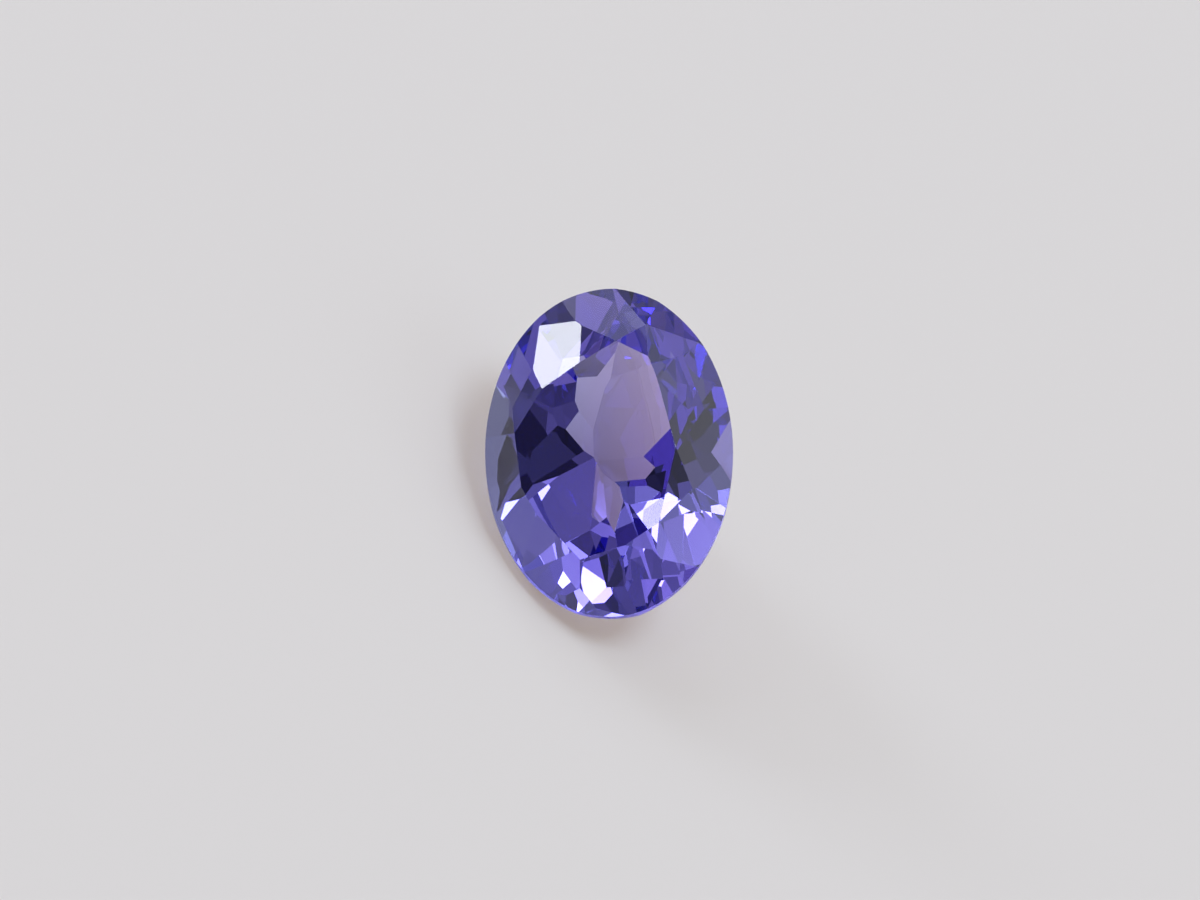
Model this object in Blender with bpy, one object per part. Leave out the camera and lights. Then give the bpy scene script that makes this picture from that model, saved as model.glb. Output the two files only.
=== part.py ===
"""Oval cut tanzanite: one faceted stone, lying on one of its large pavilion facets.

The stone is made the way a lapidary makes it. An oval preform comes first, and then
every facet is one flat cut that takes away what lies outside its plane. Cutting sizes
are in millimetres in the cutter's frame: the upper edge of the girdle lies at height
zero, the table faces +Z, and the long axis runs along Y. The finished stone is then
turned onto the facet it rests on and brought to metres.
"""

import math

import bmesh
import bpy
from mathutils import Matrix, Vector

METRES_PER_MM = 0.001

# Girdle outline, an ellipse, and the plain preform that the facets are cut from
HALF_WIDTH = 3.00
HALF_LENGTH = 4.09
OUTLINE_SIDES = 96
PREFORM_TOP = 1.40
PREFORM_BOTTOM = -4.20

# Crown
CROWN_HEIGHT = 0.95

# Corners of the table, (x, y), anticlockwise from the top left
TABLE_CORNERS = {
    "top left low": (-1.62, 1.35),
    "left high": (-2.29, 0.24),
    "left low": (-2.12, -1.10),
    "bottom left": (-1.04, -3.07),
    "bottom": (0.38, -2.54),
    "bottom right": (1.20, -1.97),
    "right": (1.61, -0.10),
    "top right low": (1.12, 1.75),
    "top right high": (0.93, 2.17),
    "top": (0.17, 2.55),
    "top left high": (-0.71, 2.01),
}

# Bezels: the azimuth of each, in degrees from +X, how far above the upper edge of the
# girdle it comes to the outline, and the table corners it runs up to
BEZELS = (
    (6.0, 0.03, ("right",)),
    (21.0, 0.03, ("top right low", "top right high")),
    (106.0, -0.04, ("top",)),
    (126.0, 0.04, ("top left high", "top left low")),
    (166.0, 0.00, ("left high",)),
    (187.0, 0.00, ("left high", "left low")),
    (236.0, 0.00, ("bottom left",)),
    (288.0, 0.00, ("bottom",)),
    (330.0, 0.00, ("bottom right",)),
)

# Stars: each keeps a side of the table and ends in a tip, (x, y, height), where the upper
# girdle facets below it also meet, at the azimuths that come last
STARS = (
    ("right", "top right low", (1.91, 0.95, 0.67), (10.0, 18.0)),
    ("top right high", "top", (0.88, 2.99, 0.81), (45.0, 75.0)),
    ("top", "top left high", (-0.76, 3.12, 0.46), (122.0,)),
    ("top left low", "left high", (-1.87, 1.89, 0.63), (143.0, 150.0)),
    ("left low", "bottom left", (-1.89, -2.16, 0.62), (223.0,)),
    ("bottom left", "bottom", (-0.27, -3.63, 0.62), (250.0, 274.0)),
    ("bottom", "bottom right", (1.07, -2.88, 0.68), (299.0, 319.0)),
    ("bottom right", "right", (2.05, -1.04, 0.75), (338.0, 352.0)),
)

# Pavilion: azimuth and slope in degrees, and how far below the upper edge of the girdle
# the cut meets the outline, in millimetres
RESTING_FACET = (216.0, 37.0, 0.38)
PAVILION_MAINS = (
    (12.0, 38.5, 0.22),
    (20.0, 36.5, 0.26),
    (20.0, 39.5, 0.18),
    (43.0, 40.0, 0.26),
    (236.0, 39.0, 0.22),
    (265.0, 41.0, 0.20),
    (308.0, 39.5, 0.24),
    (317.0, 36.5, 0.32),
    (325.0, 40.5, 0.24),
    (330.0, 39.0, 0.24),
    (338.0, 36.5, 0.42),
    (357.0, 40.0, 0.24),
)
LOWER_GIRDLE = (
    (2.0, 42.5, 0.18),
    (57.0, 45.0, 0.26),
    (91.0, 45.0, 0.28),
    (107.0, 44.0, 0.16),
    (147.0, 47.5, 0.18),
    (165.0, 47.0, 0.30),
    (172.0, 48.0, 0.20),
    (178.0, 49.5, 0.16),
    (186.0, 47.0, 0.30),
    (209.0, 47.0, 0.24),
)
# The flatter facets beside the keel
KEEL_FACETS = (
    (7.0, 35.0, 0.46),
    (89.0, 34.5, 0.64),
    (115.0, 30.0, 0.92),
    (159.0, 40.0, 0.64),
    (162.0, 34.5, 0.94),
    (181.0, 42.0, 0.46),
    (187.0, 40.0, 0.56),
    (204.0, 38.5, 0.50),
    (238.0, 29.0, 0.74),
    (254.0, 32.0, 0.52),
    (260.0, 32.0, 0.52),
    (299.0, 26.0, 0.88),
    (320.0, 28.0, 0.88),
    (353.0, 35.0, 0.54),
)

STONE_COLOUR = (0.16, 0.13, 0.58, 1.0)
STONE_ROUGHNESS = 0.02
STONE_IOR = 1.694

# Two corners closer than this, in millimetres, are one corner
CORNER_SNAP = 0.0005


def clear_scene():
    """Remove every object that the scene starts with."""
    for scene_object in list(bpy.data.objects):
        bpy.data.objects.remove(scene_object, do_unlink=True)


def heading(azimuth):
    """Return the level unit vector at an azimuth in degrees."""
    turn = math.radians(azimuth)
    return Vector((math.cos(turn), math.sin(turn), 0.0))


def outline_reach(level):
    """Return how far the girdle outline reaches along a level unit vector."""
    return math.hypot(HALF_WIDTH * level.x, HALF_LENGTH * level.y)


def tilted(level, slope, side):
    """Return a facet normal: slope in radians from level, side +1 crown or -1 pavilion."""
    normal = level * math.sin(slope)
    normal.z = side * math.cos(slope)
    return normal


def table_corner(name):
    """Return a corner of the table as a point at the height of the crown."""
    x, y = TABLE_CORNERS[name]
    return Vector((x, y, CROWN_HEIGHT))


def facet_through(point, azimuth, lift=0.0):
    """Return the crown facet that holds a point and comes to the outline at a height."""
    level = heading(azimuth)
    slope = math.atan2(point.z - lift, outline_reach(level) - level.dot(point))
    normal = tilted(level, slope, 1.0)
    return normal, normal.dot(point)


def star_facet(first, second, tip):
    """Return the facet that holds two table corners and a star's tip."""
    normal = (second - first).cross(tip - first).normalized()
    if normal.z < 0.0:
        normal.negate()
    return normal, normal.dot(tip)


def pavilion_facet(azimuth, slope_degrees, depth):
    """Return the facet that meets the outline at a depth below the girdle's upper edge."""
    level = heading(azimuth)
    slope = math.radians(slope_degrees)
    distance = math.sin(slope) * outline_reach(level) + math.cos(slope) * depth
    return tilted(level, slope, -1.0), distance


def crown_facets():
    """Return the table, bezels, stars and upper girdle facets as normals and distances."""
    facets = [(Vector((0.0, 0.0, 1.0)), CROWN_HEIGHT)]
    for azimuth, lift, corner_names in BEZELS:
        corners = [table_corner(name) for name in corner_names]
        facets.append(facet_through(sum(corners, Vector()) / len(corners), azimuth, lift))
    for first, second, tip_place, girdle_azimuths in STARS:
        tip = Vector(tip_place)
        facets.append(star_facet(table_corner(first), table_corner(second), tip))
        for azimuth in girdle_azimuths:
            facets.append(facet_through(tip, azimuth))
    return facets


def make_preform(stone):
    """Fill a bmesh with the plain oval block, upright, with its outline at the girdle."""
    bmesh.ops.create_circle(stone, cap_ends=True, segments=OUTLINE_SIDES, radius=1.0)
    bmesh.ops.scale(stone, vec=(HALF_WIDTH, HALF_LENGTH, 1.0), verts=stone.verts)
    bmesh.ops.translate(stone, vec=(0.0, 0.0, PREFORM_BOTTOM), verts=stone.verts)
    raised = bmesh.ops.extrude_face_region(stone, geom=stone.faces[:])
    top = [item for item in raised["geom"] if isinstance(item, bmesh.types.BMVert)]
    bmesh.ops.translate(stone, vec=(0.0, 0.0, PREFORM_TOP - PREFORM_BOTTOM), verts=top)
    bmesh.ops.recalc_face_normals(stone, faces=stone.faces)


def cut_facet(stone, normal, distance):
    """Cut one flat facet and close the stone over the cut."""
    everything = stone.verts[:] + stone.edges[:] + stone.faces[:]
    bmesh.ops.bisect_plane(
        stone,
        geom=everything,
        dist=CORNER_SNAP,
        plane_co=normal * distance,
        plane_no=normal,
        clear_outer=True,
    )
    rim = [edge for edge in stone.edges if edge.is_boundary]
    if rim:
        bmesh.ops.holes_fill(stone, edges=rim, sides=0)


def resting_turn():
    """Return the turn that lays the stone on its resting facet, long axis along X."""
    normal, _ = pavilion_facet(*RESTING_FACET)
    lean = normal.rotation_difference(Vector((0.0, 0.0, -1.0))).to_matrix()
    long_axis = lean @ Vector((0.0, 1.0, 0.0))
    yaw = Matrix.Rotation(-math.atan2(long_axis.y, long_axis.x), 3, "Z")
    return (yaw @ lean).to_4x4()


def lay_down(stone):
    """Turn the stone onto its resting facet and centre it over the origin."""
    bmesh.ops.transform(stone, matrix=resting_turn(), verts=stone.verts)
    places = [vert.co for vert in stone.verts]
    low = Vector([min(place[axis] for place in places) for axis in range(3)])
    high = Vector([max(place[axis] for place in places) for axis in range(3)])
    middle = (low + high) / 2.0
    shift = Vector((-middle.x, -middle.y, -low.z))
    bmesh.ops.translate(stone, vec=shift, verts=stone.verts)
    bmesh.ops.scale(stone, vec=(METRES_PER_MM,) * 3, verts=stone.verts)


def stone_material():
    """Return the polished violet blue finish of the stone."""
    material = bpy.data.materials.new("polished tanzanite")
    material.use_nodes = True
    shader = material.node_tree.nodes["Principled BSDF"]
    shader.inputs["Base Color"].default_value = STONE_COLOUR
    shader.inputs["Roughness"].default_value = STONE_ROUGHNESS
    shader.inputs["Metallic"].default_value = 0.0
    shader.inputs["IOR"].default_value = STONE_IOR
    material.diffuse_color = STONE_COLOUR
    return material


def make_tanzanite():
    """Cut the stone from its preform and add it to the scene."""
    stone = bmesh.new()
    make_preform(stone)
    for normal, distance in crown_facets():
        cut_facet(stone, normal, distance)
    for row in (RESTING_FACET,) + PAVILION_MAINS + LOWER_GIRDLE + KEEL_FACETS:
        cut_facet(stone, *pavilion_facet(*row))
    bmesh.ops.remove_doubles(stone, verts=stone.verts, dist=CORNER_SNAP)
    bmesh.ops.recalc_face_normals(stone, faces=stone.faces)
    lay_down(stone)
    mesh = bpy.data.meshes.new("tanzanite")
    stone.to_mesh(mesh)
    stone.free()
    mesh.materials.append(stone_material())
    tanzanite = bpy.data.objects.new("tanzanite", mesh)
    bpy.context.scene.collection.objects.link(tanzanite)


clear_scene()
make_tanzanite()
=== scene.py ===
"""Looks of the oval cut tanzanite: its polish and body colour, and the studio it lies in.

The stone keeps the facets of the solid. It gets junctions rounded as polishing leaves
them, and one material for the whole crystal. Sizes are metres unless a name says
otherwise, and directions around the stone are given in the cutter's frame, in which the
table faces +Z and the long axis runs along Y.
"""

import logging
import math
from dataclasses import dataclass
from enum import Enum
from typing import Optional, Union

import bmesh
import bpy
from mathutils import Matrix, Vector


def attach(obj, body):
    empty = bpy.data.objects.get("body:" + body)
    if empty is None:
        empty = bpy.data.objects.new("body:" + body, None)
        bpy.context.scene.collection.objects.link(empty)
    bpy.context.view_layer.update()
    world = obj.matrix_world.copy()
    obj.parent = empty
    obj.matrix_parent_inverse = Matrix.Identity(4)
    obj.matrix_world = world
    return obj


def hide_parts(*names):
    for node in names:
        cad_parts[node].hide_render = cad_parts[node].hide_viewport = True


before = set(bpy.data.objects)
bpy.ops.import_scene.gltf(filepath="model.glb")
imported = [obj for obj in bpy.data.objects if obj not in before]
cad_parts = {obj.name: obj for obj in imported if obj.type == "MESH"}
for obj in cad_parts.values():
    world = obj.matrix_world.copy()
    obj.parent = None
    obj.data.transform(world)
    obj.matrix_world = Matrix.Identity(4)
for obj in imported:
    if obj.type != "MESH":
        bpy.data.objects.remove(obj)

LOG = logging.getLogger("tanzanite")
MM = 0.001
UP = Vector((0.0, 0.0, 1.0))
Key = Union[int, str]

# The sRGB curve: a straight line near black, and a power above it
SRGB_KNEE = 0.04045
SRGB_SLOPE = 12.92
SRGB_OFFSET = 0.055
SRGB_POWER = 2.4

# Sockets that share their name with another one, by number
FIRST = 0
SECOND = 1
MIX_SHARE = 0
MIX_LEVELS = (2, 3)
MIX_COLOURS = (6, 7)
MIXED_LEVEL = 0
MIXED_COLOUR = 2


def linear(hex_colour: str) -> tuple[float, float, float, float]:
    """Turn an sRGB hex value into a linear colour.

    Args:
        hex_colour: Six hex digits after a hash.

    Returns:
        Linear red, green and blue, and an alpha of 1.
    """
    digits = hex_colour.lstrip("#")
    channels = []
    for start in (0, 2, 4):
        shown = int(digits[start:start + 2], 16) / 255.0
        if shown <= SRGB_KNEE:
            channels.append(shown / SRGB_SLOPE)
        else:
            channels.append(((shown + SRGB_OFFSET) / (1.0 + SRGB_OFFSET)) ** SRGB_POWER)
    return (channels[0], channels[1], channels[2], 1.0)


def add_node(
    tree: bpy.types.NodeTree,
    kind: str,
    settings: Optional[dict[Key, object]] = None,
    links: Optional[dict[Key, bpy.types.NodeSocket]] = None,
) -> bpy.types.Node:
    """Add one node, with its settings and the links that feed it.

    Args:
        tree: The node tree that gets the node.
        kind: Blender's name for the node's class.
        settings: Values by property name, or by input socket name or number.
        links: Output sockets by the name or number of the input that each feeds.

    Returns:
        The new node.
    """
    node = tree.nodes.new(kind)
    for key, value in (settings or {}).items():
        if isinstance(key, str) and key in node.bl_rna.properties:
            setattr(node, key, value)
        else:
            node.inputs[key].default_value = value
    for key, source in (links or {}).items():
        tree.links.new(source, node.inputs[key])
    return node


def heading(azimuth: float, elevation: float) -> Vector:
    """Return a direction as a vector.

    Args:
        azimuth: Degrees from +X, towards +Y.
        elevation: Degrees above level.

    Returns:
        The unit vector.
    """
    turn = math.radians(azimuth)
    rise = math.radians(elevation)
    level = math.cos(rise)
    return Vector((level * math.cos(turn), level * math.sin(turn), math.sin(rise)))


@dataclass(frozen=True)
class CutterFrame:
    """How the cutter's frame of the stone lies in the row frame."""

    resting_azimuth: float = 216.0
    resting_slope: float = 37.0
    crown_height: float = 0.95 * MM

    def turn(self) -> Matrix:
        """Lay the stone on its resting facet, long axis along X.

        Returns:
            The turn from the cutter's frame to the row frame.
        """
        normal = heading(self.resting_azimuth, self.resting_slope - 90.0)
        lean = normal.rotation_difference(-UP).to_matrix()
        long_axis = lean @ Vector((0.0, 1.0, 0.0))
        yaw = Matrix.Rotation(-math.atan2(long_axis.y, long_axis.x), 3, "Z")
        return yaw @ lean

    def towards(self, azimuth: float, elevation: float) -> Vector:
        """Return a direction in the row frame.

        Args:
            azimuth: Degrees from the cutter's +X, towards +Y.
            elevation: Degrees above the plane of the girdle.

        Returns:
            The unit vector.
        """
        return self.turn() @ heading(azimuth, elevation)

    def girdle_centre(self, stone: bpy.types.Object) -> Vector:
        """Return the centre of the girdle's upper edge, measured on the solid.

        Args:
            stone: The solid of the stone, at rest.

        Returns:
            The point in the row frame.
        """
        back = self.turn().transposed()
        places = [back @ vert.co for vert in stone.data.vertices]
        low = [min(place[axis] for place in places) for axis in range(3)]
        high = [max(place[axis] for place in places) for axis in range(3)]
        across = (low[0] + high[0]) / 2.0
        along = (low[1] + high[1]) / 2.0
        return self.turn() @ Vector((across, along, high[2] - self.crown_height))


@dataclass(frozen=True)
class PolishedTanzanite:
    """Tanzanite, the blue zoisite, cut and polished: clear, glassy and violet blue.

    Red and green fade within a few millimetres and blue hardly does, so facets that send
    light on a long way round look deep navy and those that let it out look grey lilac.
    The crystal is bluer along one axis and more violet along another, and a faint change
    of tint across the stone stands in for that. The girdle is left ground, so it is a
    frosted line. Absorption is per metre, and polish and ground are roughnesses.
    """

    ior: float = 1.694
    body_colour: str = "#744eed"
    absorption: float = 215.0
    polish: float = 0.0
    ground: float = 0.6
    blue_side: str = "#d4f8ff"
    violet_side: str = "#ffeef2"
    tint_reach: float = 3.0 * MM
    girdle_tilt: float = 0.04

    def make(self, cutter: CutterFrame) -> bpy.types.Material:
        """Return the stone's material.

        Args:
            cutter: The cutter's frame, which says where the girdle faces.

        Returns:
            The material.
        """
        material = bpy.data.materials.new("polished tanzanite")
        material.use_nodes = True
        tree = material.node_tree
        tree.nodes.clear()
        surface = add_node(
            tree,
            "ShaderNodeBsdfPrincipled",
            {"IOR": self.ior, "Transmission Weight": 1.0},
            {
                "Base Color": self.tint(tree, cutter),
                "Roughness": self.girdle(tree, cutter),
            },
        )
        body = add_node(
            tree,
            "ShaderNodeVolumeAbsorption",
            {"Color": linear(self.body_colour), "Density": self.absorption},
        )
        add_node(
            tree,
            "ShaderNodeOutputMaterial",
            links={"Surface": surface.outputs["BSDF"], "Volume": body.outputs["Volume"]},
        )
        return material

    def tint(self, tree: bpy.types.NodeTree, cutter: CutterFrame) -> bpy.types.NodeSocket:
        """Make the tint that turns from blue to violet across the stone.

        Args:
            tree: The material's node tree.
            cutter: The cutter's frame, which says which way is across.

        Returns:
            The socket that gives the tint.
        """
        place = add_node(tree, "ShaderNodeTexCoord")
        across = add_node(
            tree,
            "ShaderNodeVectorMath",
            {"operation": "DOT_PRODUCT", SECOND: cutter.towards(0.0, 0.0)},
            {FIRST: place.outputs["Object"]},
        )
        share = add_node(
            tree,
            "ShaderNodeMapRange",
            {
                "interpolation_type": "SMOOTHSTEP",
                "From Min": -self.tint_reach,
                "From Max": self.tint_reach,
            },
            {"Value": across.outputs["Value"]},
        )
        left, right = MIX_COLOURS
        mixed = add_node(
            tree,
            "ShaderNodeMix",
            {
                "data_type": "RGBA",
                left: linear(self.blue_side),
                right: linear(self.violet_side),
            },
            {MIX_SHARE: share.outputs["Result"]},
        )
        return mixed.outputs[MIXED_COLOUR]

    def girdle(self, tree: bpy.types.NodeTree, cutter: CutterFrame) -> bpy.types.NodeSocket:
        """Make the roughness: ground where the surface faces straight out, else polished.

        Args:
            tree: The material's node tree.
            cutter: The cutter's frame, which says where the girdle faces.

        Returns:
            The socket that gives the roughness.
        """
        surface = add_node(tree, "ShaderNodeNewGeometry")
        facing = add_node(
            tree,
            "ShaderNodeVectorMath",
            {"operation": "DOT_PRODUCT", SECOND: cutter.towards(0.0, 90.0)},
            {FIRST: surface.outputs["True Normal"]},
        )
        tilt = add_node(
            tree,
            "ShaderNodeMath",
            {"operation": "ABSOLUTE"},
            {FIRST: facing.outputs["Value"]},
        )
        roughness = add_node(
            tree,
            "ShaderNodeMapRange",
            {
                "From Min": self.girdle_tilt,
                "From Max": 2.0 * self.girdle_tilt,
                "To Min": self.ground,
                "To Max": self.polish,
            },
            {"Value": tilt.outputs["Value"]},
        )
        return roughness.outputs["Result"]


@dataclass
class CutStone:
    """The stone, with its facet junctions rounded as polishing leaves them.

    Faces that lie within the flat angle of each other are one facet, and a junction turns
    by more than the junction angle, both in degrees.
    """

    cutter: CutterFrame
    finish: PolishedTanzanite
    node: str = "tanzanite"
    junction_width: float = 0.035 * MM
    junction_steps: int = 2
    flat_angle: float = 0.3
    junction_angle: float = 5.0
    merge: float = 0.0005 * MM

    def build(self) -> bpy.types.Object:
        """Model the stone from the solid and dress it.

        Returns:
            The stone's object.
        """
        shape = bmesh.new()
        shape.from_mesh(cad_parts[self.node].data)
        bmesh.ops.remove_doubles(shape, verts=shape.verts, dist=self.merge)
        bmesh.ops.dissolve_limit(
            shape,
            angle_limit=math.radians(self.flat_angle),
            verts=shape.verts,
            edges=shape.edges,
        )
        limit = math.radians(self.junction_angle)
        junctions = [edge for edge in shape.edges if edge.calc_face_angle(0.0) > limit]
        bmesh.ops.bevel(
            shape,
            geom=junctions,
            offset=self.junction_width,
            offset_type="OFFSET",
            affect="EDGES",
            segments=self.junction_steps,
            profile=0.5,
            material=-1,
            clamp_overlap=True,
        )
        mesh = bpy.data.meshes.new("polished_stone")
        shape.to_mesh(mesh)
        shape.free()
        mesh.materials.append(self.finish.make(self.cutter))
        stone = bpy.data.objects.new("polished_stone", mesh)
        bpy.context.scene.collection.objects.link(stone)
        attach(stone, "root")
        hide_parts(self.node)
        return stone


@dataclass(frozen=True)
class PaleCard:
    """Matt off-white card that glows a little of itself, warm: painted fill light, with no
    lamp below, that keeps shadows soft and lifts the shade under the stone. The card is a
    little blue so the open floor looks neutral.
    """

    colour: str = "#b5b9c1"
    glow: str = "#ffe4c0"
    glow_strength: float = 0.28
    roughness: float = 0.9

    def make(self) -> bpy.types.Material:
        """Dress the card.

        Returns:
            The floor's material.
        """
        material = bpy.data.materials.new("matt pale card")
        material.use_nodes = True
        shader = material.node_tree.nodes["Principled BSDF"]
        shader.inputs["Base Color"].default_value = linear(self.colour)
        shader.inputs["Roughness"].default_value = self.roughness
        # Painted light: the card shines faintly and warmly of itself to lighten the shade
        # under and beside the stone
        shader.inputs["Emission Color"].default_value = linear(self.glow)
        shader.inputs["Emission Strength"].default_value = self.glow_strength
        return material


@dataclass
class Floor:
    """Plain pale floor, a hair below the stone as a real card is where two flats touch."""

    finish: PaleCard
    side: float = 2400.0 * MM
    air_gap: float = 0.02 * MM

    def build(self) -> bpy.types.Object:
        """Make the floor.

        Returns:
            The floor's object.
        """
        shape = bmesh.new()
        bmesh.ops.create_grid(shape, x_segments=1, y_segments=1, size=self.side / 2.0)
        bmesh.ops.translate(shape, vec=(0.0, 0.0, -self.air_gap), verts=shape.verts)
        mesh = bpy.data.meshes.new("floor")
        shape.to_mesh(mesh)
        shape.free()
        mesh.materials.append(self.finish.make())
        floor = bpy.data.objects.new("floor", mesh)
        bpy.context.scene.collection.objects.link(floor)
        return floor


class Tone(Enum):
    """Colours of light in the room."""

    COOL = "#e6f4ff"
    DAYLIGHT = "#f6faff"
    NEUTRAL = "#ffffff"


@dataclass(frozen=True)
class Patch:
    """A round patch of the room as the stone sees it, by direction and half angle.

    All three angles are degrees, and the direction is in the cutter's frame.
    """

    name: str
    azimuth: float
    elevation: float
    half_angle: float


@dataclass(frozen=True)
class SoftLight(Patch):
    """A round soft light, with the brightness that its face shows."""

    brightness: float
    tone: Tone = Tone.NEUTRAL


@dataclass
class Lighting:
    """Round soft lights, all at one distance from the stone.

    The bezel at the upper left mirrors the window. The window's corner, the small lamps and
    the lamp at the right come back out of the pavilion as the sparkle in the lower half, and
    the walls keep the facets between them from going black.
    """

    cutter: CutterFrame
    centre: Vector
    distance: float = 1000.0 * MM
    lights: tuple[SoftLight, ...] = (
        SoftLight("window", 125.0, 22.5, 8.5, 10.5, Tone.DAYLIGHT),
        SoftLight("window_corner", 117.5, 27.0, 2.6, 9.0, Tone.COOL),
        SoftLight("window_side", 106.0, 18.0, 5.0, 2.8, Tone.COOL),
        SoftLight("sky", 124.0, 36.0, 6.5, 3.0, Tone.COOL),
        SoftLight("small_lamp", 105.0, 36.0, 2.5, 10.0, Tone.COOL),
        SoftLight("ceiling_lamp", 86.0, 62.5, 3.0, 6.0, Tone.COOL),
        SoftLight("right_lamp", 35.0, 45.0, 12.5, 6.6, Tone.COOL),
        SoftLight("right_wall", 41.5, 38.5, 25.0, 0.75),
        SoftLight("far_lamp", 87.0, 14.0, 8.0, 2.4, Tone.COOL),
        SoftLight("far_wall", 91.0, 16.5, 15.5, 0.8),
        SoftLight("low_wall", 352.0, 19.0, 18.0, 0.8, Tone.COOL),
        SoftLight("ceiling_glow", 328.0, 75.5, 9.0, 0.09, Tone.COOL),
    )

    def place(self, light: SoftLight) -> bpy.types.Object:
        """Place one soft light, facing the stone.

        Args:
            light: The light's direction, size, brightness and tone.

        Returns:
            The light's object.
        """
        direction = self.cutter.towards(light.azimuth, light.elevation)
        radius = self.distance * math.tan(math.radians(light.half_angle))
        data = bpy.data.lights.new(light.name, "AREA")
        data.shape = "DISK"
        data.size = 2.0 * radius
        # A disc lamp of this power shows a face of the stated brightness
        data.energy = math.pi ** 2 * radius ** 2 * light.brightness
        data.color = linear(light.tone.value)[:3]
        lamp = bpy.data.objects.new(light.name, data)
        lamp.location = self.centre + direction * self.distance
        lamp.rotation_euler = direction.to_track_quat("Z", "Y").to_euler()
        lamp.visible_camera = False
        bpy.context.scene.collection.objects.link(lamp)
        return lamp

    def build(self) -> list[bpy.types.Object]:
        """Place every light."""
        return [self.place(light) for light in self.lights]


@dataclass
class Room:
    """Dim even room with a few dark patches, among them the one round the camera.

    It gets lighter upwards, and a little lighter towards one side. The dark patches come
    back out of the stone as its navy facets.
    """

    cutter: CutterFrame
    colour: str = "#eef1fb"
    level: float = 0.23
    rise: float = 0.21
    brighter_side: float = 82.0
    side_gain: float = 0.14
    dark: float = 0.035
    edge: float = 0.03
    patches: tuple[Patch, ...] = (
        Patch("camera", 270.0, 76.0, 12.0),
        Patch("dark_above", 290.0, 82.0, 25.0),
        Patch("window_frame", 124.0, 29.0, 10.5),
        Patch("dark_wall", 68.0, 29.0, 13.0),
        Patch("dark_beam", 38.0, 57.5, 9.0),
    )

    def build(self) -> bpy.types.World:
        """Make the room's light.

        Returns:
            The world.
        """
        world = bpy.data.worlds.new("dim room")
        world.use_nodes = True
        tree = world.node_tree
        tree.nodes.clear()
        outwards = add_node(tree, "ShaderNodeTexCoord").outputs["Generated"]
        upward = add_node(
            tree,
            "ShaderNodeVectorMath",
            {"operation": "DOT_PRODUCT", SECOND: UP},
            {FIRST: outwards},
        )
        height = add_node(
            tree,
            "ShaderNodeMapRange",
            {"To Min": self.level, "To Max": self.level + self.rise},
            {"Value": upward.outputs["Value"]},
        )
        side = self.cutter.towards(self.brighter_side, 0.0) * self.side_gain
        sideways = add_node(
            tree,
            "ShaderNodeVectorMath",
            {"operation": "DOT_PRODUCT", SECOND: side},
            {FIRST: outwards},
        )
        level = add_node(
            tree,
            "ShaderNodeMath",
            {"operation": "ADD"},
            {FIRST: height.outputs["Result"], SECOND: sideways.outputs["Value"]},
        ).outputs["Value"]
        for patch in self.patches:
            level = self.darken(tree, outwards, level, patch)
        light = add_node(
            tree,
            "ShaderNodeBackground",
            {"Color": linear(self.colour)},
            {"Strength": level},
        )
        add_node(
            tree,
            "ShaderNodeOutputWorld",
            links={"Surface": light.outputs["Background"]},
        )
        bpy.context.scene.world = world
        return world

    def darken(
        self,
        tree: bpy.types.NodeTree,
        outwards: bpy.types.NodeSocket,
        level: bpy.types.NodeSocket,
        patch: Patch,
    ) -> bpy.types.NodeSocket:
        """Darken the room within one patch.

        Args:
            tree: The world's node tree.
            outwards: The direction looked in.
            level: The room's brightness so far.
            patch: The patch to darken.

        Returns:
            The room's brightness with the patch.
        """
        direction = self.cutter.towards(patch.azimuth, patch.elevation)
        nearness = add_node(
            tree,
            "ShaderNodeVectorMath",
            {"label": patch.name, "operation": "DOT_PRODUCT", SECOND: direction},
            {FIRST: outwards},
        )
        rim = math.cos(math.radians(patch.half_angle))
        share = add_node(
            tree,
            "ShaderNodeMapRange",
            {"From Min": rim - self.edge / 2.0, "From Max": rim + self.edge / 2.0},
            {"Value": nearness.outputs["Value"]},
        )
        outside, inside = MIX_LEVELS
        mixed = add_node(
            tree,
            "ShaderNodeMix",
            {"data_type": "FLOAT", inside: self.dark},
            {MIX_SHARE: share.outputs["Result"], outside: level},
        )
        return mixed.outputs[MIXED_LEVEL]


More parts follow.
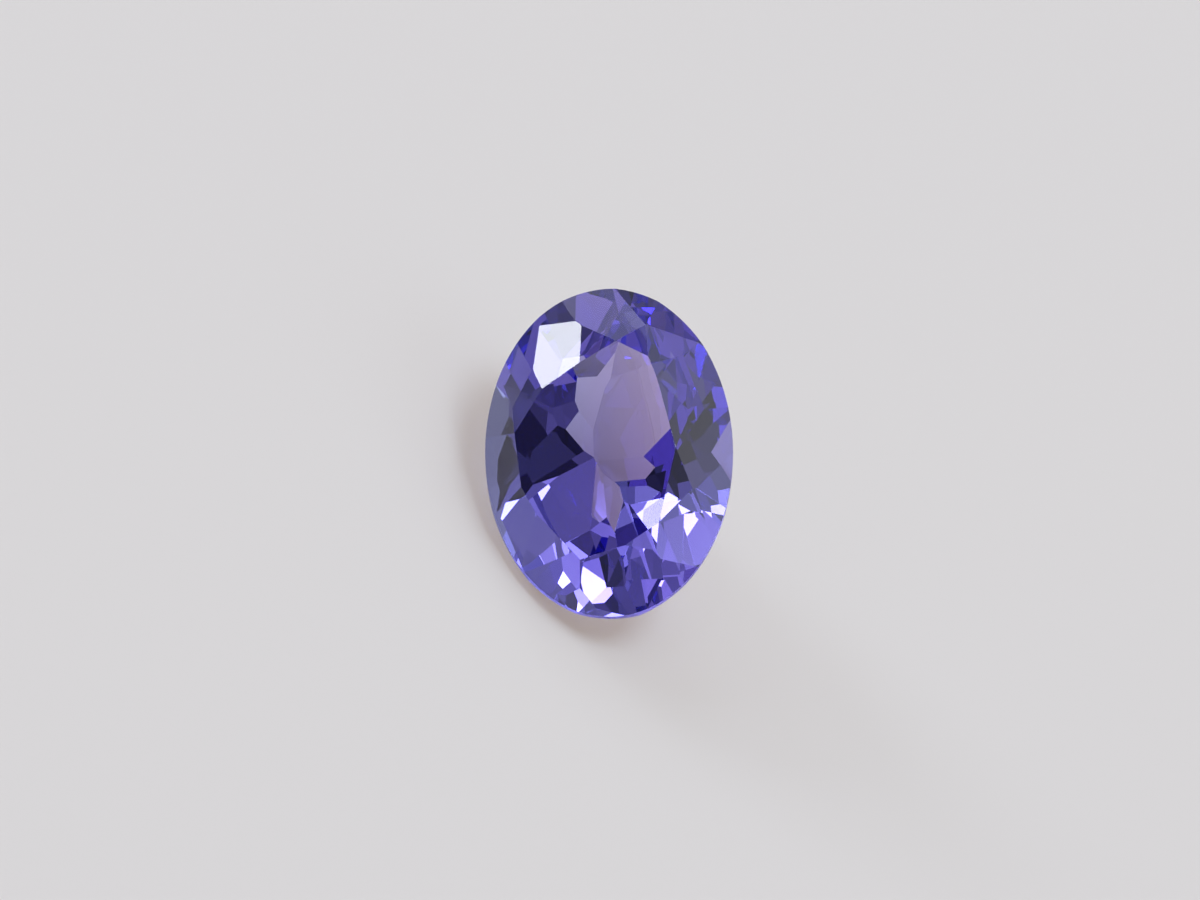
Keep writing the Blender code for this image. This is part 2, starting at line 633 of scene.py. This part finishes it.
@dataclass
class PhotoCamera:
    """The camera, leaning from the stone's axis as in the photograph.

    The places in the picture are those of the centre of the girdle, in pixels of the
    photograph. The lean is in degrees, and the lens and sensor are in millimetres: a long
    lens, so that lines of sight through the stone are nearly parallel. The near and far
    clips are shares of the camera's distance.
    """

    cutter: CutterFrame
    centre: Vector
    frame_width: float = 1200.0
    frame_height: float = 900.0
    pixels_per_mm: float = 41.33
    stone_x: float = 609.1
    stone_y: float = 452.5
    lean: float = 14.0
    lens: float = 500.0
    sensor: float = 36.0
    clip_near: float = 0.01
    clip_far: float = 50.0

    def build(self) -> bpy.types.Object:
        """Make the camera and look through it.

        Returns:
            The camera's object.
        """
        right = self.cutter.towards(0.0, 0.0)
        up = self.cutter.towards(90.0, self.lean)
        back = self.cutter.towards(270.0, 90.0 - self.lean)
        pixel = MM / self.pixels_per_mm
        aside = (self.frame_width / 2.0 - self.stone_x) * pixel
        above = (self.stone_y - self.frame_height / 2.0) * pixel
        distance = self.frame_width * pixel * self.lens / self.sensor
        data = bpy.data.cameras.new("camera")
        data.lens = self.lens
        data.sensor_width = self.sensor
        data.clip_start = distance * self.clip_near
        data.clip_end = distance * self.clip_far
        camera = bpy.data.objects.new("camera", data)
        place = self.centre + right * aside + up * above + back * distance
        axes = Matrix((right, up, back)).transposed().to_4x4()
        camera.matrix_world = Matrix.Translation(place) @ axes
        bpy.context.scene.collection.objects.link(camera)
        bpy.context.scene.camera = camera
        return camera


@dataclass(frozen=True)
class LightPaths:
    """How often light may bounce, as it crosses a cut stone many times, and how it shows."""

    all_kinds: int = 32
    reflected: int = 24
    through: int = 32
    transform: str = "Standard"

    def apply(self) -> None:
        """Set the scene's light paths and its plain display curve."""
        scene = bpy.context.scene
        scene.cycles.max_bounces = self.all_kinds
        scene.cycles.glossy_bounces = self.reflected
        scene.cycles.transmission_bounces = self.through
        scene.view_settings.view_transform = self.transform


def main() -> None:
    """Build the stone and its studio."""
    logging.basicConfig(level=logging.INFO, format="%(message)s")
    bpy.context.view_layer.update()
    cutter = CutterFrame()
    centre = cutter.girdle_centre(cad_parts["tanzanite"])
    stone = CutStone(cutter, PolishedTanzanite()).build()
    LOG.info("%s: %d faces", stone.name, len(stone.data.polygons))
    floor = Floor(PaleCard()).build()
    LOG.info("%s: a plain card", floor.name)
    for lamp in Lighting(cutter, centre).build():
        LOG.info("%s: a soft light", lamp.name)
    LOG.info("%s: the rest of the light", Room(cutter).build().name)
    LOG.info("%s: at the photo's angle", PhotoCamera(cutter, centre).build().name)
    LightPaths().apply()


if __name__ == "__main__":
    main()
